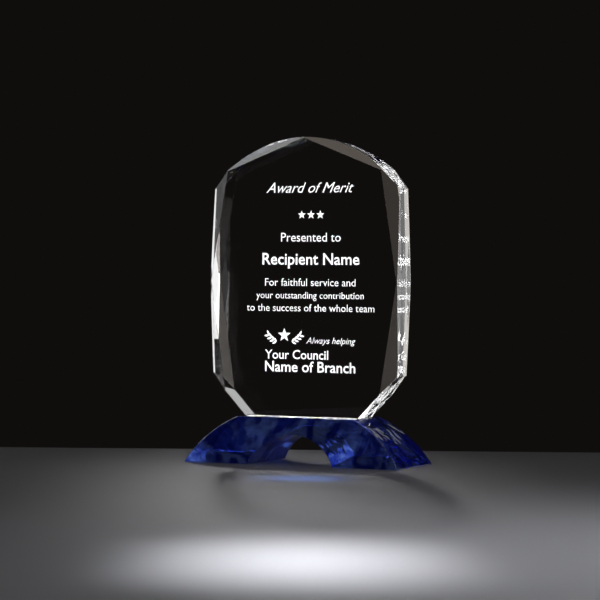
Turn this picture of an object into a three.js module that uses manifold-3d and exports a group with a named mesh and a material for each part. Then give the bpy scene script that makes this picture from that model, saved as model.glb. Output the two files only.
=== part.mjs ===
// Crystal award: a clear, gem-cut optical crystal plaque that stands on a
// cobalt-blue crystal arch, bonded to it by a thin film of clear adhesive.
//
// Millimetres, +Z up. X runs along the width of the award, and its front looks
// towards -Y. The origin is the middle of the base's underside.
import * as THREE from 'three';
import { mergeVertices } from 'three/addons/utils/BufferGeometryUtils.js';
import Module from 'manifold-3d';

const wasm = await Module();
wasm.setup();

// ---- Driving dimensions (mm) ------------------------------------------------

// Base: an arch-shaped block whose front and back faces lean inwards.
const BASE_WIDTH = 146; // along the table
const BASE_DEPTH = 59; // along the table, front to back
const BASE_HEIGHT = 29.5;
const BASE_TOP_WIDTH = 80; // flat land that carries the plaque
const BASE_SHOULDER_RADIUS = 70.7; // convex curve from the land down to the table
const BASE_LEAN = 0.27; // inward run of front and back faces per mm of height
const ARCH_RADIUS = 32; // round cut-out under the base
const ARCH_RISE = 18.8; // height of the cut-out's crown above the table

// Adhesive: the cured film between the plaque and the base.
const FILM_THICKNESS = 0.25;
const FILM_MARGIN = 0.3; // film stops this far short of the plaque's lower edge

// Plaque: its outline is given for the right half and mirrored.
const PLAQUE_THICKNESS = 22.8;
const PLAQUE_BOTTOM = BASE_HEIGHT + FILM_THICKNESS;
const PLAQUE_TOP = 205.75; // crown of the top arc
const FOOT_HALF_WIDTH = 38.8; // half the width of the plaque's lower edge
const LOWER_CORNER = new THREE.Vector2(63.6, 56.2);
const UPPER_CORNER = new THREE.Vector2(63.6, 173.5);
const WAIST_HALF_WIDTH = 64.3; // widest place, on the gently bowed sides
const ARC_END = new THREE.Vector2(53.2, 184.8); // where the top arc starts
const LOWER_BEVEL_END = 0.61; // share of the lower chamfer left unbevelled, from the foot
const SIDE_BEVEL_ANGLE = 26; // degrees between a side bevel and the face
const TOP_BEVEL_ANGLE = 33; // degrees between a top bevel and the face

// Steps of the round stretches.
const ARC_STEPS = 36; // half of the top arc
const SIDE_STEPS = 5; // half of one bowed side
const SHOULDER_STEPS = 32;
const CUTOUT_STEPS = 96;

// ---- Materials --------------------------------------------------------------

const clearCrystal = new THREE.MeshStandardMaterial({
  color: 0xe9eef2, roughness: 0.02, metalness: 0, transparent: true, opacity: 0.35,
});
const cobaltCrystal = new THREE.MeshStandardMaterial({
  color: 0x1c3fa8, roughness: 0.03, metalness: 0, transparent: true, opacity: 0.85,
});
const curedAdhesive = new THREE.MeshStandardMaterial({
  color: 0xf4f4f0, roughness: 0.15, metalness: 0, transparent: true, opacity: 0.5,
});

// ---- Solids -----------------------------------------------------------------

/** Makes a manifold solid from a closed three.js geometry. */
function toSolid(geometry) {
  const bare = geometry.index ? geometry.toNonIndexed() : geometry.clone();
  bare.deleteAttribute('normal');
  bare.deleteAttribute('uv');
  const merged = mergeVertices(bare, 1e-4);
  return new wasm.Manifold(new wasm.Mesh({
    numProp: 3,
    vertProperties: new Float32Array(merged.attributes.position.array),
    triVerts: new Uint32Array(merged.index.array),
  }));
}

/** Turns a manifold solid back into a named mesh. */
function toMesh(solid, name, material) {
  const { vertProperties, triVerts } = solid.getMesh();
  const geometry = new THREE.BufferGeometry();
  geometry.setAttribute('position', new THREE.BufferAttribute(new Float32Array(vertProperties), 3));
  geometry.setIndex(new THREE.BufferAttribute(new Uint32Array(triVerts), 1));
  geometry.computeVertexNormals();
  const mesh = new THREE.Mesh(geometry, material);
  mesh.name = name;
  return mesh;
}

/** Extrudes an outline in the XZ plane along Y, centred on y = 0. */
function slab(outline, thickness) {
  const geometry = new THREE.ExtrudeGeometry(new THREE.Shape(outline), {
    depth: thickness, bevelEnabled: false, steps: 1,
  });
  geometry.translate(0, 0, -thickness / 2);
  return toSolid(geometry.rotateX(Math.PI / 2));
}

/**
 * The material that a flat grinding wheel takes away: a block whose inner face
 * goes through `edge`, looks along `normal` and runs along `along`.
 */
function grindingBlock(edge, normal, along) {
  const size = 400;
  const across = new THREE.Vector3().crossVectors(along, normal);
  const turn = new THREE.Matrix4().makeBasis(along, normal, across);
  const centre = edge.clone().addScaledVector(normal, size / 2);
  const block = new THREE.BoxGeometry(size, size, size);
  return toSolid(block.applyMatrix4(turn).translate(centre.x, centre.y, centre.z));
}

/** Points on the circle round `centre`, from one angle to another, both ends included. */
function arcPoints(centre, radius, from, to, steps) {
  return Array.from({ length: steps + 1 }, (_, i) => {
    const angle = THREE.MathUtils.lerp(from, to, i / steps);
    return new THREE.Vector2(centre.x + radius * Math.cos(angle), centre.y + radius * Math.sin(angle));
  });
}

/** Completes a right-half outline, given from bottom to top, with its mirror image. */
function mirrored(rightHalf) {
  const leftHalf = rightHalf
    .filter((point) => point.x > 1e-6)
    .map((point) => new THREE.Vector2(-point.x, point.y))
    .reverse();
  return [...rightHalf, ...leftHalf];
}

// ---- Base -------------------------------------------------------------------

/** Arch block: curved shoulders, leaning front and back, round cut-out below. */
function makeBase() {
  // The shoulder's centre is as far from the land's end as from the table corner.
  const land = new THREE.Vector2(BASE_TOP_WIDTH / 2, BASE_HEIGHT);
  const corner = new THREE.Vector2(BASE_WIDTH / 2, 0);
  const chord = corner.clone().sub(land);
  const reach = Math.sqrt(BASE_SHOULDER_RADIUS ** 2 - chord.lengthSq() / 4);
  const inward = new THREE.Vector2(chord.y, -chord.x).normalize();
  const centre = land.clone().add(corner).multiplyScalar(0.5).addScaledVector(inward, reach);
  const angleOf = (point) => Math.atan2(point.y - centre.y, point.x - centre.x);
  const shoulder = arcPoints(centre, BASE_SHOULDER_RADIUS, angleOf(corner), angleOf(land), SHOULDER_STEPS);
  shoulder[0] = corner;
  shoulder[SHOULDER_STEPS] = land;
  let base = slab(mirrored(shoulder), BASE_DEPTH);

  for (const side of [-1, 1]) {
    const normal = new THREE.Vector3(0, side, BASE_LEAN).normalize();
    const edge = new THREE.Vector3(0, side * BASE_DEPTH / 2, 0);
    base = base.subtract(grindingBlock(edge, normal, new THREE.Vector3(1, 0, 0)));
  }

  const cutout = new THREE.CylinderGeometry(ARCH_RADIUS, ARCH_RADIUS, 2 * BASE_DEPTH, CUTOUT_STEPS);
  return base.subtract(toSolid(cutout.translate(0, 0, ARCH_RISE - ARCH_RADIUS)));
}

// ---- Plaque -----------------------------------------------------------------

/** The bowed side from the lower to the upper corner, through the waist. */
function bowedSide() {
  const halfChord = (UPPER_CORNER.y - LOWER_CORNER.y) / 2;
  const bow = WAIST_HALF_WIDTH - LOWER_CORNER.x;
  const radius = (halfChord ** 2 + bow ** 2) / (2 * bow);
  const centre = new THREE.Vector2(WAIST_HALF_WIDTH - radius, LOWER_CORNER.y + halfChord);
  const swing = Math.asin(halfChord / radius);
  return arcPoints(centre, radius, -swing, swing, 2 * SIDE_STEPS);
}

/** Right half of the outline, from the foot to the crown. */
function plaqueOutline() {
  const foot = new THREE.Vector2(FOOT_HALF_WIDTH, PLAQUE_BOTTOM);
  const crown = new THREE.Vector2(0, PLAQUE_TOP);
  const drop = PLAQUE_TOP - ARC_END.y;
  const radius = (ARC_END.x ** 2 + drop ** 2) / (2 * drop);
  const centre = new THREE.Vector2(0, PLAQUE_TOP - radius);
  const start = Math.atan2(ARC_END.y - centre.y, ARC_END.x);
  const arc = arcPoints(centre, radius, start, Math.PI / 2, ARC_STEPS);
  arc[0] = ARC_END;
  arc[ARC_STEPS] = crown;
  return [foot, ...bowedSide(), ...arc];
}

/** Cuts one planar bevel, front and back alike, that starts on the chord a-b of the face. */
function cutBevels(solid, a, b, angle) {
  const tilt = THREE.MathUtils.degToRad(angle);
  const along = new THREE.Vector3(b.x - a.x, 0, b.y - a.y).normalize();
  const outward = new THREE.Vector3(along.z, 0, -along.x);
  if (outward.x * (a.x + b.x) < 0) outward.negate();
  for (const side of [-1, 1]) {
    const normal = outward.clone().multiplyScalar(Math.sin(tilt));
    normal.y = side * Math.cos(tilt);
    const edge = new THREE.Vector3(a.x, side * PLAQUE_THICKNESS / 2, a.y);
    solid = solid.subtract(grindingBlock(edge, normal, along));
  }
  return solid;
}

/** Gem-cut plaque: a slab with six planar bevels round each face. */
function makePlaque() {
  let plaque = slab(mirrored(plaqueOutline()), PLAQUE_THICKNESS);
  const foot = new THREE.Vector2(FOOT_HALF_WIDTH, PLAQUE_BOTTOM);
  const waist = new THREE.Vector2(WAIST_HALF_WIDTH, (LOWER_CORNER.y + UPPER_CORNER.y) / 2);
  const lowerEnd = foot.clone().lerp(LOWER_CORNER, LOWER_BEVEL_END);
  const crown = new THREE.Vector2(0, PLAQUE_TOP);
  const flip = (point, hand) => new THREE.Vector2(hand * point.x, point.y);
  for (const hand of [1, -1]) {
    const [low, mid, shoulder] = [lowerEnd, waist, ARC_END].map((point) => flip(point, hand));
    plaque = cutBevels(plaque, low, mid, SIDE_BEVEL_ANGLE);
    plaque = cutBevels(plaque, mid, shoulder, SIDE_BEVEL_ANGLE);
    plaque = cutBevels(plaque, shoulder, crown, TOP_BEVEL_ANGLE);
  }
  return plaque;
}

// ---- Adhesive ---------------------------------------------------------------

/** Thin film that fills the joint between the base's land and the plaque's foot. */
function makeFilm() {
  const length = 2 * (FOOT_HALF_WIDTH - FILM_MARGIN);
  const width = PLAQUE_THICKNESS - 2 * FILM_MARGIN;
  const film = new THREE.BoxGeometry(length, width, FILM_THICKNESS);
  return toSolid(film.translate(0, 0, BASE_HEIGHT + FILM_THICKNESS / 2));
}

// ---- Assembly ---------------------------------------------------------------

const award = new THREE.Group();
award.add(
  toMesh(makeBase(), 'blue_arch_base', cobaltCrystal),
  toMesh(makeFilm(), 'adhesive_film', curedAdhesive),
  toMesh(makePlaque(), 'crystal_plaque', clearCrystal),
);

export default award;
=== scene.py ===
from math import asin, cos, pi, radians, sin, sqrt, tan

import bmesh
import bpy
import numpy as np
from mathutils import Matrix, Vector
from mathutils.geometry import delaunay_2d_cdt


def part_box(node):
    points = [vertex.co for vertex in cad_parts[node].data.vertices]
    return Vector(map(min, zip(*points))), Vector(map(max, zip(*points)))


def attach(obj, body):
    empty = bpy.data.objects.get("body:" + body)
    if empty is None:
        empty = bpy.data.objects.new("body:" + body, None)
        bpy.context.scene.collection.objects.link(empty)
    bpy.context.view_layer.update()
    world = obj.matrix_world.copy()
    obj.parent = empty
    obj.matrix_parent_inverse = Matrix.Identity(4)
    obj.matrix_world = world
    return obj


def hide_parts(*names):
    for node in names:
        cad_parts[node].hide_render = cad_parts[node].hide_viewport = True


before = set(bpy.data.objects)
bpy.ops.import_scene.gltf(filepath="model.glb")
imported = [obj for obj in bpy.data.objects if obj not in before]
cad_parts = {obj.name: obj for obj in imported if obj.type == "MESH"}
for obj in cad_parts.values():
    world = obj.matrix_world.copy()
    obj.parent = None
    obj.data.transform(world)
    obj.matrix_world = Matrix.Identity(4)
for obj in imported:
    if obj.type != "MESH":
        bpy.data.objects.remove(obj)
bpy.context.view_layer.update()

# ---- Camera ------------------------------------------------------------------
# A long lens, a little above the table and about 24 degrees round to the award's
# right, so that the bevels and the polished side of the plaque both show.
MM = 0.001  # sizes are written in millimetres
CAMERA_AZIMUTH = radians(24.25)
CAMERA_PITCH = radians(0.37)
CAMERA_ROLL = radians(0.53)
CAMERA_DISTANCE = 1607.4
CAMERA_AIM_HEIGHT = 103.1
CAMERA_AIM_RIGHT = -6.0
LENS = 152.5
SENSOR_WIDTH = 36
NEAR_CLIP, FAR_CLIP = 0.05, 20  # metres

level_back = Vector((sin(CAMERA_AZIMUTH), -cos(CAMERA_AZIMUTH), 0))
back = level_back * cos(CAMERA_PITCH) + Vector((0, 0, sin(CAMERA_PITCH)))
right = Vector((cos(CAMERA_AZIMUTH), sin(CAMERA_AZIMUTH), 0))
up = back.cross(right)
camera_data = bpy.data.cameras.new("camera")
camera_data.lens = LENS
camera_data.sensor_width = SENSOR_WIDTH
camera_data.clip_start = NEAR_CLIP
camera_data.clip_end = FAR_CLIP
camera = bpy.data.objects.new("camera", camera_data)
bpy.context.scene.collection.objects.link(camera)
aim = right * CAMERA_AIM_RIGHT + Vector((0, 0, CAMERA_AIM_HEIGHT))
turned = Matrix((
    right * cos(CAMERA_ROLL) + up * sin(CAMERA_ROLL),
    up * cos(CAMERA_ROLL) - right * sin(CAMERA_ROLL),
    back,
)).transposed()
camera.matrix_world = Matrix.Translation((aim + back * CAMERA_DISTANCE) * MM) @ turned.to_4x4()
bpy.context.scene.camera = camera

# ---- Table -------------------------------------------------------------------
# A mid-grey satin laminate top. It ends a hand's breadth behind the award, square to
# the line of sight, and the room behind it is dark.
TABLE_BEHIND = 128
TABLE_FRONT = 820
TABLE_HALF_WIDTH = 520
TABLE_THICKNESS = 30
AIR_UNDER_AWARD = 0.1  # keeps the two faces from lying in one plane
GRAIN_SIZE = 10 / 9
TABLE_ROUGHNESS = 0.42
LAMINATE_TONES = ("#77787c", "#828388")


def linear(colour):
    """An sRGB colour, written as a hex string, as linear red, green, blue and alpha."""
    # The figures are those of the sRGB standard.
    channels = np.array([int(colour[i:i + 2], 16) / 255 for i in (1, 3, 5)])
    low_part = channels / 12.92
    high_part = ((channels + 0.055) / 1.055) ** 2.4
    return (*np.where(channels <= 0.04045, low_part, high_part), 1.0)


def new_material(name):
    """An empty node material and its output node."""
    material = bpy.data.materials.new(name)
    material.use_nodes = True
    material.node_tree.nodes.clear()
    return material, material.node_tree.nodes.new("ShaderNodeOutputMaterial")


def add(output, kind, values=None, links=None, **settings):
    """Adds a node beside output: socket values, incoming links and plain settings."""
    tree = output.id_data
    made = tree.nodes.new(kind)
    for name, value in settings.items():
        setattr(made, name, value)
    for socket, value in (values or {}).items():
        made.inputs[socket].default_value = value
    for socket, source in (links or {}).items():
        tree.links.new(source, made.inputs[socket])
    return made


def join(output, **links):
    """Links shader outputs to the material output's sockets."""
    for socket, source in links.items():
        output.id_data.links.new(source, output.inputs[socket])


def new_piece(name, vertices, faces, materials, slots=None):
    """A mesh object from millimetre points and faces, its doubles merged and its faces outward.
    Slots gives each face's place in the list of materials."""
    weld = 1e-3 * MM
    mesh = bpy.data.meshes.new(name)
    mesh.from_pydata((np.asarray(vertices) * MM).tolist(), [], [list(map(int, face)) for face in faces])
    if slots is not None:
        mesh.polygons.foreach_set("material_index", slots)
    shell = bmesh.new()
    shell.from_mesh(mesh)
    bmesh.ops.remove_doubles(shell, verts=shell.verts, dist=weld)
    bmesh.ops.dissolve_degenerate(shell, edges=shell.edges, dist=weld)
    bmesh.ops.recalc_face_normals(shell, faces=shell.faces)
    shell.to_mesh(mesh)
    shell.free()
    for material in materials:
        mesh.materials.append(material)
    piece = bpy.data.objects.new(name, mesh)
    bpy.context.scene.collection.objects.link(piece)
    return piece


# Satin melamine laminate: a soft, broad sheen and an even grey with a fine grain.
laminate, out = new_material("satin_laminate")
place = add(out, "ShaderNodeTexCoord").outputs["Object"]
grain = add(out, "ShaderNodeTexNoise", {"Scale": 1 / (GRAIN_SIZE * MM), "Detail": 3.0}, {"Vector": place})
tones = dict(zip(("Color1", "Color2"), map(linear, LAMINATE_TONES)))
tone = add(out, "ShaderNodeMixRGB", tones, {"Fac": grain.outputs["Fac"]})
surface = add(out, "ShaderNodeBsdfPrincipled", {"Roughness": TABLE_ROUGHNESS},
              {"Base Color": tone.outputs["Color"]})
join(out, Surface=surface.outputs["BSDF"])

away = -level_back
table_corners = [
    right * across + away * along
    for across, along in (
        (-TABLE_HALF_WIDTH, TABLE_BEHIND), (TABLE_HALF_WIDTH, TABLE_BEHIND),
        (TABLE_HALF_WIDTH, -TABLE_FRONT), (-TABLE_HALF_WIDTH, -TABLE_FRONT))
]
table_vertices = [
    (corner.x, corner.y, height)
    for height in (-AIR_UNDER_AWARD - TABLE_THICKNESS, -AIR_UNDER_AWARD)
    for corner in table_corners
]
table_faces = [(0, 1, 2, 3), (4, 5, 6, 7), (0, 1, 5, 4), (1, 2, 6, 5), (2, 3, 7, 6), (3, 0, 4, 7)]
table = new_piece("table", table_vertices, table_faces, [laminate])

# ---- Blue arch base ----------------------------------------------------------
# One block of cobalt-blue optical crystal, sawn, ground and polished to an arch.
# Its front and back lean inwards; every edge carries a narrow polished arris.
LAND_HALF = 40  # half the flat on top
LEAN = 0.27  # inward run of front and back per mm of height
SHOULDER_RADIUS = 70.7
ARCH_RADIUS = 32
ARCH_RISE = 18.8
BASE_ARRIS = 0.7
BASE_SHARP_EDGE = radians(18)
SHOULDER_STEPS = 40
PLAQUE_FOOT_HALF = 38.8
LAND_STEPS = 16
CRYSTAL_IOR = 1.52
BOND_IOR = 1.03  # crystal against cured adhesive, whose own index is a little lower
HAZE_SIZE = 9
MOST_HAZE = 0.02
CORD_SIZE = 14
CORD_EDGES = (0.44, 0.6)  # noise levels between which a cord fades out
ARRIS_SEGMENTS = 3
FLAT = 0.999  # least share of a unit normal for a face to count as square to an axis
NEAR = 1e-3  # heights this close count as the same
BONDED = 1  # slot of the bonded face's material in either block

base_half_width, base_half_depth, base_height = np.array(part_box("blue_arch_base")[1]) / MM
plaque_low, plaque_high = (np.array(corner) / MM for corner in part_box("crystal_plaque"))
plaque_half_depth = plaque_high[1]


def bulging_arc(start, end, sagitta, steps):
    """Points on the circle through start and end that rises by sagitta to the left of the chord:
    centre + radius * (normal * cos(angle) + chord direction * sin(angle)), evenly spaced in angle."""
    start, end = np.array(start, float), np.array(end, float)
    chord = end - start
    half = np.hypot(*chord) / 2
    radius = (half ** 2 + sagitta ** 2) / (2 * sagitta)
    along = chord / (2 * half)
    normal = np.array([-along[1], along[0]])
    centre = (start + end) / 2 + normal * (sagitta - radius)
    angle = np.linspace(-1, 1, steps + 1)[:, None] * asin(half / radius)
    return centre + radius * (normal * np.cos(angle) + along * np.sin(angle))


def polished_arris(piece, width, limit):
    """Gives every edge sharper than limit a narrow rounded arris and keeps the flats' own normals."""
    piece.data.polygons.foreach_set("use_smooth", [True] * len(piece.data.polygons))
    arris = piece.modifiers.new("polished_arris", "BEVEL")
    arris.width = width * MM
    arris.segments = ARRIS_SEGMENTS
    arris.limit_method = "ANGLE"
    arris.angle_limit = limit
    arris.use_clamp_overlap = False
    arris.harden_normals = True


def depth_tint(out, tint, density):
    """Colours the inside of a material by the length of the path through it."""
    if density:
        absorbed = add(out, "ShaderNodeVolumeAbsorption", {"Color": linear(tint), "Density": density})
        join(out, Volume=absorbed.outputs["Volume"])


def crystal(name, tint, ripple, ripple_size, density=0.0, cords=("#ffffff", "#ffffff"), clearness=1.0):
    """Optical crystal: clear, index 1.52, ground and then polished. The polish leaves a very fine
    haze and a slow ripple of the surface, ripple_size mm across. Cords are streaks of deeper and
    paler glass in the melt. A clearness below 1 leaves that much less to pass, the rest scatters."""
    material, out = new_material(name)
    place = add(out, "ShaderNodeTexCoord").outputs["Object"]
    haze = add(out, "ShaderNodeTexNoise", {"Scale": 1 / (HAZE_SIZE * MM), "Detail": 4.0}, {"Vector": place})
    rough = add(out, "ShaderNodeMapRange", {"To Min": 0.0, "To Max": MOST_HAZE},
                {"Value": haze.outputs["Fac"]})
    wave = add(out, "ShaderNodeTexNoise", {"Scale": 1 / (ripple_size * MM), "Detail": 1.0}, {"Vector": place})
    bump = add(out, "ShaderNodeBump", {"Distance": ripple * MM}, {"Height": wave.outputs["Fac"]})
    cord = add(out, "ShaderNodeTexNoise", {"Scale": 1 / (CORD_SIZE * MM), "Detail": 4.0, "Distortion": 1.4},
               {"Vector": place})
    sharp = add(out, "ShaderNodeMapRange", {"From Min": CORD_EDGES[0], "From Max": CORD_EDGES[1]},
                {"Value": cord.outputs["Fac"]})
    streak = add(out, "ShaderNodeMixRGB", {"Color1": linear(cords[0]), "Color2": linear(cords[1])},
                 {"Fac": sharp.outputs["Result"]})
    glass = add(out, "ShaderNodeBsdfPrincipled", {"Transmission Weight": clearness, "IOR": CRYSTAL_IOR},
                {"Base Color": streak.outputs["Color"], "Roughness": rough.outputs["Result"],
                 "Normal": bump.outputs["Normal"]})
    join(out, Surface=glass.outputs["BSDF"])
    depth_tint(out, tint, density)
    return material


def bonded_face(name, tint, density=0.0):
    """The same crystal where the adhesive wets it: almost no step in index, so no shine of its own."""
    material, out = new_material(name)
    glass = add(out, "ShaderNodeBsdfPrincipled", {
        "Base Color": (1, 1, 1, 1), "Transmission Weight": 1.0, "IOR": BOND_IOR, "Roughness": 0.0,
    })
    join(out, Surface=glass.outputs["BSDF"])
    depth_tint(out, tint, density)
    return material


# Cobalt-blue optical crystal. Cobalt oxide takes out red first, then green; the cords give the
# mottled depth, and the matt share stands for light that many inner faces throw about.
COBALT = "#2e94f0"
COBALT_DENSITY = 10.0
COBALT_CORDS = ("#1b2fac", "#86a6ff")
COBALT_RIPPLE, COBALT_RIPPLE_SIZE = 0.35, 9
COBALT_CLEARNESS = 0.8
cobalt_crystal = crystal("polished_cobalt_crystal", COBALT, COBALT_RIPPLE, COBALT_RIPPLE_SIZE,
                         COBALT_DENSITY, COBALT_CORDS, COBALT_CLEARNESS)
cobalt_bond = bonded_face("bonded_cobalt_crystal", COBALT, COBALT_DENSITY)


def arch_block():
    """A six-cornered section carried along the arch from foot to foot. Its outer edge follows
    shoulder, land and shoulder, its inner edge the round cut-out; the front and back
    corners stand at y = +-(half depth - lean * height)."""
    shoulder_half_chord = np.hypot(base_half_width - LAND_HALF, base_height) / 2
    sagitta = SHOULDER_RADIUS - sqrt(SHOULDER_RADIUS ** 2 - shoulder_half_chord ** 2)
    left = bulging_arc((-base_half_width, 0), (-LAND_HALF, base_height), sagitta, SHOULDER_STEPS)
    land_x = np.linspace(-PLAQUE_FOOT_HALF, PLAQUE_FOOT_HALF, LAND_STEPS + 1)
    land = np.stack([land_x, np.full(len(land_x), base_height)], 1)
    outer = np.concatenate([left, land, left[::-1] * [-1, 1]])
    foot_inner = sqrt(ARCH_RADIUS ** 2 - (ARCH_RADIUS - ARCH_RISE) ** 2)
    inner = bulging_arc((-foot_inner, 0), (foot_inner, 0), ARCH_RISE, len(outer) - 1)
    lean_outer = base_half_depth - LEAN * outer[:, 1]
    lean_inner = base_half_depth - LEAN * inner[:, 1]
    bond = np.full(len(outer), plaque_half_depth)
    section = [
        (outer, -lean_outer), (outer, -bond), (outer, bond), (outer, lean_outer),
        (inner, lean_inner), (inner, -lean_inner),
    ]
    corners = len(section)
    stations = len(outer)
    vertices = np.stack([np.stack([c[:, 0], y, c[:, 1]], 1) for c, y in section], 1).reshape(-1, 3)
    station, corner = np.meshgrid(np.arange(stations - 1), np.arange(corners), indexing="ij")
    following = (corner + 1) % corners
    quads = np.stack([
        station * corners + corner, station * corners + following,
        (station + 1) * corners + following, (station + 1) * corners + corner,
    ], -1).reshape(-1, 4)
    ends = [np.arange(corners), (stations - 1) * corners + np.arange(corners)]
    return vertices, [*quads, *ends]


def wear_on_bond(piece, height):
    """The faces that lie on the bond, at that height under the plaque's foot, wear the bonded slot."""
    for face in piece.data.polygons:
        centre = face.center / MM
        inside = abs(centre.x) < PLAQUE_FOOT_HALF and abs(centre.y) < plaque_half_depth
        if inside and abs(centre.z - height) < NEAR and abs(face.normal.z) > FLAT:
            face.material_index = BONDED


base = new_piece("cobalt_arch_base", *arch_block(), [cobalt_crystal, cobalt_bond])
wear_on_bond(base, base_height)
polished_arris(base, BASE_ARRIS, BASE_SHARP_EDGE)
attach(base, "root")
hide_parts("blue_arch_base")

# ---- Adhesive film -----------------------------------------------------------
# A drop of clear adhesive, spread thin between the two polished faces and cured
# by ultraviolet light. Its rim draws in as a small hollow meniscus.
FILM_IOR = 1.48
FILM_CLEARANCE = 0.02  # keeps the film's faces off the crystal's own
RIM_STEPS = 6
RIM_CORNER_RADIUS = 1.2
CORNER_STEPS = 8
ADHESIVE_TINT = "#fbfbf6"
RIM_ROUGHNESS = 0.05
film_low, film_high = (np.array(corner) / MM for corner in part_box("adhesive_film"))


def film_sheet():
    """A rounded rectangle whose rim is drawn inwards by a half circle of the film's own height."""
    half_x, half_y = film_high[0], film_high[1]
    z_low, z_high = film_low[2] + FILM_CLEARANCE, film_high[2] - FILM_CLEARANCE
    turn = np.concatenate([np.linspace(q, q + pi / 2, CORNER_STEPS + 1) for q in (0, pi / 2, pi, 3 * pi / 2)])
    normals = np.stack([np.cos(turn), np.sin(turn)], 1)
    corner = np.repeat([(1, 1), (-1, 1), (-1, -1), (1, -1)], CORNER_STEPS + 1, axis=0)
    centres = corner * (half_x - RIM_CORNER_RADIUS, half_y - RIM_CORNER_RADIUS)
    height = np.linspace(-1, 1, RIM_STEPS + 1)
    drawn_in = (z_high - z_low) / 2 * np.sqrt(1 - height ** 2)
    level = z_low + (z_high - z_low) * (height + 1) / 2
    rings = [
        np.column_stack([centres + normals * (RIM_CORNER_RADIUS - inset), np.full(len(normals), z)])
        for z, inset in zip(level, drawn_in)
    ]
    around = len(normals)
    ring, step = np.meshgrid(np.arange(RIM_STEPS), np.arange(around), indexing="ij")
    following = (step + 1) % around
    quads = np.stack([
        ring * around + step, ring * around + following,
        (ring + 1) * around + following, (ring + 1) * around + step,
    ], -1).reshape(-1, 4)
    caps = [np.arange(around), RIM_STEPS * around + np.arange(around)]
    return np.concatenate(rings), [*quads, *caps]


# Acrylic adhesive, cured by ultraviolet light: clear, a trace of yellow, a slightly soft rim.
adhesive, out = new_material("cured_clear_adhesive")
glass = add(out, "ShaderNodeBsdfPrincipled", {
    "Base Color": linear(ADHESIVE_TINT), "Transmission Weight": 1.0, "IOR": FILM_IOR,
    "Roughness": RIM_ROUGHNESS,
})
join(out, Surface=glass.outputs["BSDF"])
wetted, out = new_material("wetted_adhesive_face")
glass = add(out, "ShaderNodeBsdfPrincipled", {
    "Base Color": (1, 1, 1, 1), "Transmission Weight": 1.0, "IOR": 1.0, "Roughness": 0.0,
})
join(out, Surface=glass.outputs["BSDF"])

film = new_piece("cured_adhesive_film", *film_sheet(), [adhesive, wetted])
for face in film.data.polygons:
    face.material_index = int(abs(face.normal.z) > FLAT)
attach(film, "root")
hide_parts("adhesive_film")

# ---- Crystal plaque ----------------------------------------------------------
# One slab of clear optical crystal. Six flat bevels are ground round each face,
# then face, bevels and edge are polished; the edge between any two is an arris.
LOWER_CORNER = (63.6, 56.2)
UPPER_CORNER = (63.6, 173.5)
ARC_END = (53.2, 184.8)
LOWER_BEVEL_END = 0.61  # share of the lower chamfer that has no bevel, from the foot
SIDE_BEVEL = radians(26)
TOP_BEVEL = radians(33)
LEAST_DEPTH = 0.3  # a bevel is ground this deep even where its chord reaches the outline
PLAQUE_ARRIS = 0.18
PLAQUE_SHARP_EDGE = radians(12)
ARC_STEPS = 48
SIDE_STEPS = 8
BEVEL_END_STEPS = 4
MARGIN = 0.96  # the plain rim of the back face lies outside this share of its outline
LEAST_MARK = 1e-4  # square millimetres; smaller slivers of a letter are left out
ETCHED = 2  # slot of the sandblasted material
INSIDE_ONLY = 1  # the triangulation's mode that keeps what lies inside a face
JOIN_WITHIN = 1e-5  # points this close become one

# Words, middle of the line, foot of the letters, width, then slant and extra weight.
LINES = (
    ("Award of Merit", -1.7, 171.2, 60.6, 0.42),
    ("Presented to", -0.8, 140.2, 41.4),
    ("Recipient Name", -0.8, 125.6, 67.2, 0.0, 0.013),
    ("For faithful service and", -1.1, 112.0, 62.7),
    ("your outstanding contribution", -1.2, 104.0, 74.5),
    ("to the success of the whole team", -0.9, 95.9, 88.4),
    ("Always helping", 13.7, 75.6, 33.9, 0.3),
    ("Your Council", -10.0, 65.6, 44.1, 0.0, 0.013),
    ("Name of Branch", -0.6, 57.4, 62.6, 0.0, 0.013),
)
STAR_ROW_MIDDLE = -0.7
STAR_ROW_HEIGHT = 157.1
STAR_ROW_PITCH = 6.4
STAR_ROW_RADIUS = 2.9
EMBLEM_CENTRE = (-18.6, 80.6)
EMBLEM_STAR_RADIUS = 4.6
SPRIG_PAIRS = 4
SPRIG_START, SPRIG_PITCH = 5.2, 1.75  # mm out from the emblem's middle, and from leaf to leaf
SPRIG_DROP, SPRIG_CURL = 5.2, 0.045  # how far below it the sprig starts, and how fast it rises
LEAF_LENGTH, LEAF_BREADTH = 3.6, 1.35
LEAF_TILTS = (-0.45, 0.75)  # radians, lower and upper leaf
LEAF_TURN = 0.12  # each pair stands that much steeper
LETTER_STEPS = 3

plaque_bottom = plaque_low[2]
plaque_top = plaque_high[2]
waist_half_width = plaque_high[0]
crown = np.array([0, plaque_top])
foot = np.array([PLAQUE_FOOT_HALF, plaque_bottom])
waist = np.array([waist_half_width, (LOWER_CORNER[1] + UPPER_CORNER[1]) / 2])


def inset_line(a, b, inset):
    """The line through a and b, moved towards the plaque's middle: a point and a direction."""
    along = (b - a) / np.hypot(*(b - a))
    inward = np.array([-along[1], along[0]])
    return a + inward * inset, along


def crossing(line_a, line_b):
    """Where two lines meet."""
    (p, u), (q, v) = line_a, line_b
    return p + u * np.linalg.solve(np.column_stack([u, -v]), q - p)[0]


def depth_below(points, line, angle):
    """How deep a bevel of that angle has gone at each outline point: distance to its chord * tan(angle)."""
    p, along = line
    offset = points - p
    return -(offset @ np.array([-along[1], along[0]])) * tan(angle)


def along_chord(points, start, end):
    """Each outline point's partner on the chord: the same share of the way from start to end."""
    along = points[-1] - points[0]
    share = (points - points[0]) @ along / (along @ along)
    return start + share[:, None] * (end - start)


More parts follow.
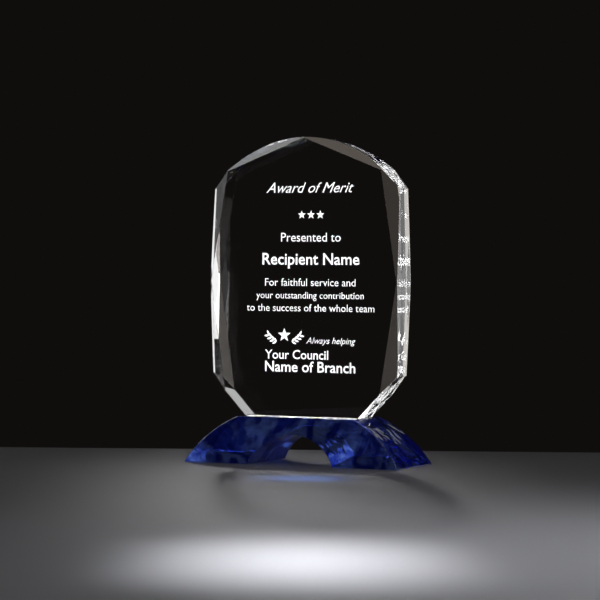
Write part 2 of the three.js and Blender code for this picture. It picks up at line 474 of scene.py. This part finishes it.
def plaque_halves():
    """The right half of the plaque, from foot to crown: the outline, the face's edge inside it,
    and the bevel's depth at each outline point."""
    lower_corner, upper_corner, arc_end = map(np.array, (LOWER_CORNER, UPPER_CORNER, ARC_END))
    bevel_end = foot + (lower_corner - foot) * LOWER_BEVEL_END
    side_inset, top_inset = LEAST_DEPTH / tan(SIDE_BEVEL), LEAST_DEPTH / tan(TOP_BEVEL)
    lower = inset_line(bevel_end, waist, side_inset)
    upper = inset_line(waist, arc_end, side_inset)
    top = inset_line(arc_end, crown, top_inset)
    chamfer = inset_line(foot, lower_corner, 0)
    start = crossing(lower, chamfer)
    at_waist = crossing(lower, upper)
    at_arc_end = crossing(upper, top)
    at_crown = crossing(top, (np.array([0.0, 0.0]), np.array([0.0, 1.0])))

    bow = waist_half_width - lower_corner[0]
    side = bulging_arc(lower_corner, upper_corner, -bow, 2 * SIDE_STEPS)
    lower_points = np.concatenate([
        [start], np.linspace(start, lower_corner, BEVEL_END_STEPS + 1)[1:-1], side[:SIDE_STEPS + 1]])
    upper_points = np.concatenate([
        side[SIDE_STEPS:], np.linspace(upper_corner, arc_end, BEVEL_END_STEPS + 1)[1:]])
    drop = plaque_top - arc_end[1]
    radius = (arc_end[0] ** 2 + drop ** 2) / (2 * drop)
    angle = np.linspace(asin(arc_end[0] / radius), 0, ARC_STEPS + 1)
    top_points = np.stack([radius * np.sin(angle), plaque_top - radius + radius * np.cos(angle)], 1)

    outline = np.concatenate([[foot], lower_points, upper_points[1:], top_points[1:]])
    edge = np.concatenate([
        [foot], along_chord(lower_points, start, at_waist),
        along_chord(upper_points, at_waist, at_arc_end)[1:],
        along_chord(top_points, at_arc_end, at_crown)[1:],
    ])
    depth = np.concatenate([
        [0], depth_below(lower_points, lower, SIDE_BEVEL),
        depth_below(upper_points, upper, SIDE_BEVEL)[1:], depth_below(top_points, top, TOP_BEVEL)[1:],
    ])
    return outline, edge, depth


def written(words, middle, foot_height, width, slant=0.0, weight=0.0):
    """One line of letters as flat faces in the XZ plane, scaled so that the line has its width."""
    curve = bpy.data.curves.new("line", "FONT")
    curve.body = words
    curve.shear = slant
    curve.offset = weight
    curve.resolution_u = LETTER_STEPS
    holder = bpy.data.objects.new("line", curve)
    bpy.context.scene.collection.objects.link(holder)
    bpy.context.view_layer.update()
    mesh = bpy.data.meshes.new_from_object(holder.evaluated_get(bpy.context.evaluated_depsgraph_get()))
    points = np.empty(len(mesh.vertices) * 3, np.float32)
    mesh.vertices.foreach_get("co", points)
    points = points.reshape(-1, 3)[:, :2]
    faces = [list(face.vertices) for face in mesh.polygons]
    bpy.data.objects.remove(holder)
    bpy.data.meshes.remove(mesh)
    points = points - [(points[:, 0].min() + points[:, 0].max()) / 2, 0]
    return points * (width / np.ptp(points[:, 0])) + [middle, foot_height], faces


def star(centre, radius, tips=5, waist=0.42):
    """A star: tips on a circle of that radius, with the notches between them on a smaller one."""
    turn = pi / 2 + np.arange(2 * tips) * pi / tips
    reach = radius * np.where(np.arange(2 * tips) % 2, waist, 1)
    rim = np.array(centre) + reach[:, None] * np.stack([np.cos(turn), np.sin(turn)], 1)
    return rim, [list(range(2 * tips))]


def leaf(root, angle, length, breadth, steps=10):
    """A laurel leaf: half its breadth * sin(pi * share of the way along) on each side of its rib."""
    share = np.linspace(0, 1, steps + 1)
    half = breadth / 2 * np.sin(pi * share)
    rim = np.concatenate([np.stack([share * length, -half], 1), np.stack([share * length, half], 1)[-2:0:-1]])
    turn = np.array([[cos(angle), sin(angle)], [-sin(angle), cos(angle)]])
    return rim @ turn + root, [list(range(len(rim)))]


def etched_marks():
    """Everything blasted into the back face, as flat faces: the words, three small stars,
    and an emblem of a star between two laurel sprigs, whose leaves follow a shallow arc:
    height = curl * distance ** 2 - drop. Every face is turned anticlockwise."""
    marks = [written(*line) for line in LINES]
    for step in (-1, 0, 1):
        marks.append(star((STAR_ROW_MIDDLE + step * STAR_ROW_PITCH, STAR_ROW_HEIGHT), STAR_ROW_RADIUS))
    marks.append(star(EMBLEM_CENTRE, EMBLEM_STAR_RADIUS))
    for side in (-1, 1):
        for pair in range(SPRIG_PAIRS):
            out_along = SPRIG_START + SPRIG_PITCH * pair
            root = np.array(EMBLEM_CENTRE) + [side * out_along, SPRIG_CURL * out_along ** 2 - SPRIG_DROP]
            for lift in LEAF_TILTS:
                tilt = lift + LEAF_TURN * pair
                marks.append(leaf(root, tilt if side > 0 else pi - tilt, LEAF_LENGTH, LEAF_BREADTH))
    vertices, faces, start = [], [], 0
    for points, rings in marks:
        vertices.append(points)
        for ring in rings:
            x, z = points[ring].T
            area = np.sum(x * np.roll(z, -1) - z * np.roll(x, -1)) / 2
            if abs(area) > LEAST_MARK:
                faces.append([index + start for index in (ring if area > 0 else ring[::-1])])
        start += len(points)
    return np.concatenate(vertices), faces


def plaque_block():
    """A profile carried round the outline: face edge, bevel edge, and the same two at the back.
    The two flat faces close it. The back face is triangulated round the etched marks.
    Gives points, faces, and each face's slot."""
    outline, edge, depth = plaque_halves()
    flip = np.array([-1, 1])
    outline = np.concatenate([outline, (outline * flip)[-2::-1]])
    edge = np.concatenate([edge, (edge * flip)[-2::-1]])
    depth = np.concatenate([depth, depth[-2::-1]])
    around = len(outline)
    half = plaque_half_depth
    middle = edge.mean(axis=0)
    inner = middle + (edge - middle) * MARGIN
    rings = [
        (edge, np.full(around, -half)), (outline, depth - half),
        (outline, half - depth), (edge, np.full(around, half)), (inner, np.full(around, half)),
    ]
    sides = np.concatenate([np.stack([p[:, 0], y, p[:, 1]], 1) for p, y in rings])
    ring, step = np.meshgrid(np.arange(len(rings) - 1), np.arange(around), indexing="ij")
    following = (step + 1) % around
    quads = np.stack([
        ring * around + step, ring * around + following,
        (ring + 1) * around + following, (ring + 1) * around + step,
    ], -1).reshape(-1, 4)

    mark_points, mark_faces = etched_marks()
    flat_points = [Vector(point) for point in np.concatenate([inner, mark_points])]
    flat_faces = [list(range(around)), *([index + around for index in face] for face in mark_faces)]
    points, _, triangles, _, _, sources = delaunay_2d_cdt(
        flat_points, [], flat_faces, INSIDE_ONLY, JOIN_WITHIN)
    back_face = np.array([(point.x, half, point.y) for point in points])
    triangles = [[index + len(sides) for index in triangle] for triangle in triangles]
    etched = [any(source > 0 for source in found) for found in sources]
    faces = [*quads, np.arange(around), *triangles]
    slots = np.concatenate([np.zeros(len(quads) + 1, int), np.where(etched, ETCHED, 0)])
    return np.concatenate([sides, back_face]), faces, slots


# Clear optical crystal, polished much flatter than the base.
CLEAR_RIPPLE, CLEAR_RIPPLE_SIZE = 0.002, 30
clear_crystal = crystal("polished_clear_crystal", "#ffffff", CLEAR_RIPPLE, CLEAR_RIPPLE_SIZE)
clear_bond = bonded_face("bonded_clear_crystal", "#ffffff")

# Sandblasted glass scatters white: most of the light goes through, the rest comes back.
GRIT_SIZE = 0.35
THROUGH_SHARE = 0.6
FROST_TONES = ("#f4f5f6", "#ffffff")
frosted, out = new_material("sandblasted_crystal")
place = add(out, "ShaderNodeTexCoord").outputs["Object"]
grit = add(out, "ShaderNodeTexNoise", {"Scale": 1 / (GRIT_SIZE * MM), "Detail": 2.0}, {"Vector": place})
tones = dict(zip(("Color1", "Color2"), map(linear, FROST_TONES)))
white = add(out, "ShaderNodeMixRGB", tones, {"Fac": grit.outputs["Fac"]})
matt = add(out, "ShaderNodeBsdfDiffuse", {}, {"Color": white.outputs["Color"]})
glow = add(out, "ShaderNodeBsdfTranslucent", {}, {"Color": white.outputs["Color"]})
etched = add(out, "ShaderNodeMixShader", {"Fac": THROUGH_SHARE},
             {1: matt.outputs["BSDF"], 2: glow.outputs["BSDF"]})
join(out, Surface=etched.outputs["Shader"])

points, faces, slots = plaque_block()
plaque = new_piece("gem_cut_plaque", points, faces, [clear_crystal, clear_bond, frosted], slots)
wear_on_bond(plaque, plaque_bottom)
polished_arris(plaque, PLAQUE_ARRIS, PLAQUE_SHARP_EDGE)
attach(plaque, "root")
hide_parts("crystal_plaque")

# ---- Lights ------------------------------------------------------------------
# Soft boxes of a small studio. They stand outside the view; the crystal shows
# them by refraction, and the room itself stays dark.
BOX_DISTANCE = 1800
KEY_DISTANCE = 1900
LIT_HEIGHT = 100  # the boxes stand on a sphere round this height of the award
WHITE, OFF_WHITE, WARM_WHITE, WARM_WALL = "#ffffff", "#fff8f0", "#fff6ec", "#fff0e2"
GLINT_BLUE = "#3d8bff"
ROOM_DARK = "#100e0d"


def area_light(name, place, turn, size, radiance, colour=WHITE, spread=180):
    """A rectangular light of that many mm, with power = radiance * pi * area."""
    data = bpy.data.lights.new(name, "AREA")
    data.shape = "RECTANGLE"
    data.size, data.size_y = size[0] * MM, size[1] * MM
    data.energy = radiance * pi * data.size * data.size_y
    data.color = linear(colour)[:3]
    data.spread = radians(spread)
    light = bpy.data.objects.new(name, data)
    light.location = Vector(place) * MM
    light.rotation_euler = turn
    light.visible_camera = False
    bpy.context.scene.collection.objects.link(light)
    return light


def soft_box(name, azimuth, elevation, size, radiance, colour=WHITE, distance=BOX_DISTANCE,
             target=(0, 0, LIT_HEIGHT), spread=180):
    """An area light on a sphere round the award, turned to the target. Azimuth 0 is
    straight behind the award and grows towards its right."""
    azimuth, elevation = radians(azimuth), radians(elevation)
    place = Vector((sin(azimuth) * cos(elevation), cos(azimuth) * cos(elevation), sin(elevation))) * distance
    place += Vector((0, 0, LIT_HEIGHT))
    turn = (Vector(target) - place).to_track_quat("-Z", "Y").to_euler()
    return area_light(name, place, turn, size, radiance, colour, spread)


# The key comes from behind, high on the left, and throws the award's shadow forward.
key = soft_box("rear_key", -27.7, 26.5, (200, 200), 0.08, WHITE, KEY_DISTANCE, (100, -174, 0), 8)

# Beams that light only matt surfaces. Crystal holds back the key's direct light, so two of them
# stand in for what passes the plaque and the blue arch. A low one from behind lights the
# frosting, and the others light the table: a small bright pool and a broad soft one.
along_view = (0, 0, CAMERA_AZIMUTH)
through = area_light("key_through_glass", (6, -16, 122), key.rotation_euler, (106, 124), 0.06, WHITE, 8)
through.data.shape = "ELLIPSE"
beams = [
    through,
    soft_box("rear_spot", -12, -15, (60, 60), 170, WHITE, KEY_DISTANCE, (0, 0, 116), 8),
    area_light("pool", (230, -520, 600), along_view, (34, 150), 13, WHITE, 16),
    area_light("key_through_base", (48, -118, 120), along_view, (40, 24), 2.6, GLINT_BLUE, 22),
    area_light("front_floor", (455, -410, 700), along_view, (460, 420), 1.35, WHITE, 44),
]
for beam in beams:
    beam.visible_glossy = beam.visible_transmission = False

# Cards that show in the crystal and in the table's sheen, but light no matt surface: azimuth,
# elevation, width and height in mm, and radiance.
cards = [
    soft_box("rear_strip", 5, 8, (200, 330), 0.9),
    soft_box("rear_high_panel", 1, 25, (420, 260), 0.45),
    soft_box("rear_low_panel", -38, -15, (720, 560), 0.095, WARM_WALL),
    soft_box("left_rear_dim", -43, 3, (520, 500), 0.036, WARM_WALL),
    soft_box("left_panel", -60, 2, (620, 700), 0.5, OFF_WHITE),
    soft_box("rear_right_panel", 24, 2, (400, 650), 0.95),
    soft_box("right_rear_panel", 50, 10, (900, 1100), 2.6),
    soft_box("right_rear_high", 60, 38, (650, 600), 3.0),
    soft_box("left_front_top", -106, 42, (1200, 700), 3.4),
]
for card in cards:
    card.visible_diffuse = False

# Plain soft light from the front and the sides.
soft_box("left_front", -102, 9, (700, 800), 0.9)
soft_box("right_front_panel", 120, 10, (700, 1000), 1.7, WARM_WHITE)
soft_box("front_right_panel", 160, 6, (500, 700), 0.75)
soft_box("front_top", -172, 52, (900, 700), 1.4)

world = bpy.data.worlds.new("dark_room")
world.use_nodes = True
world.node_tree.nodes["Background"].inputs["Color"].default_value = linear(ROOM_DARK)
bpy.context.scene.world = world

# Light passes many faces inside the two blocks before it leaves them.
scene = bpy.context.scene
scene.view_settings.view_transform = "Standard"
scene.cycles.max_bounces = 32
scene.cycles.transmission_bounces = 32
scene.cycles.glossy_bounces = 16
scene.cycles.diffuse_bounces = 3
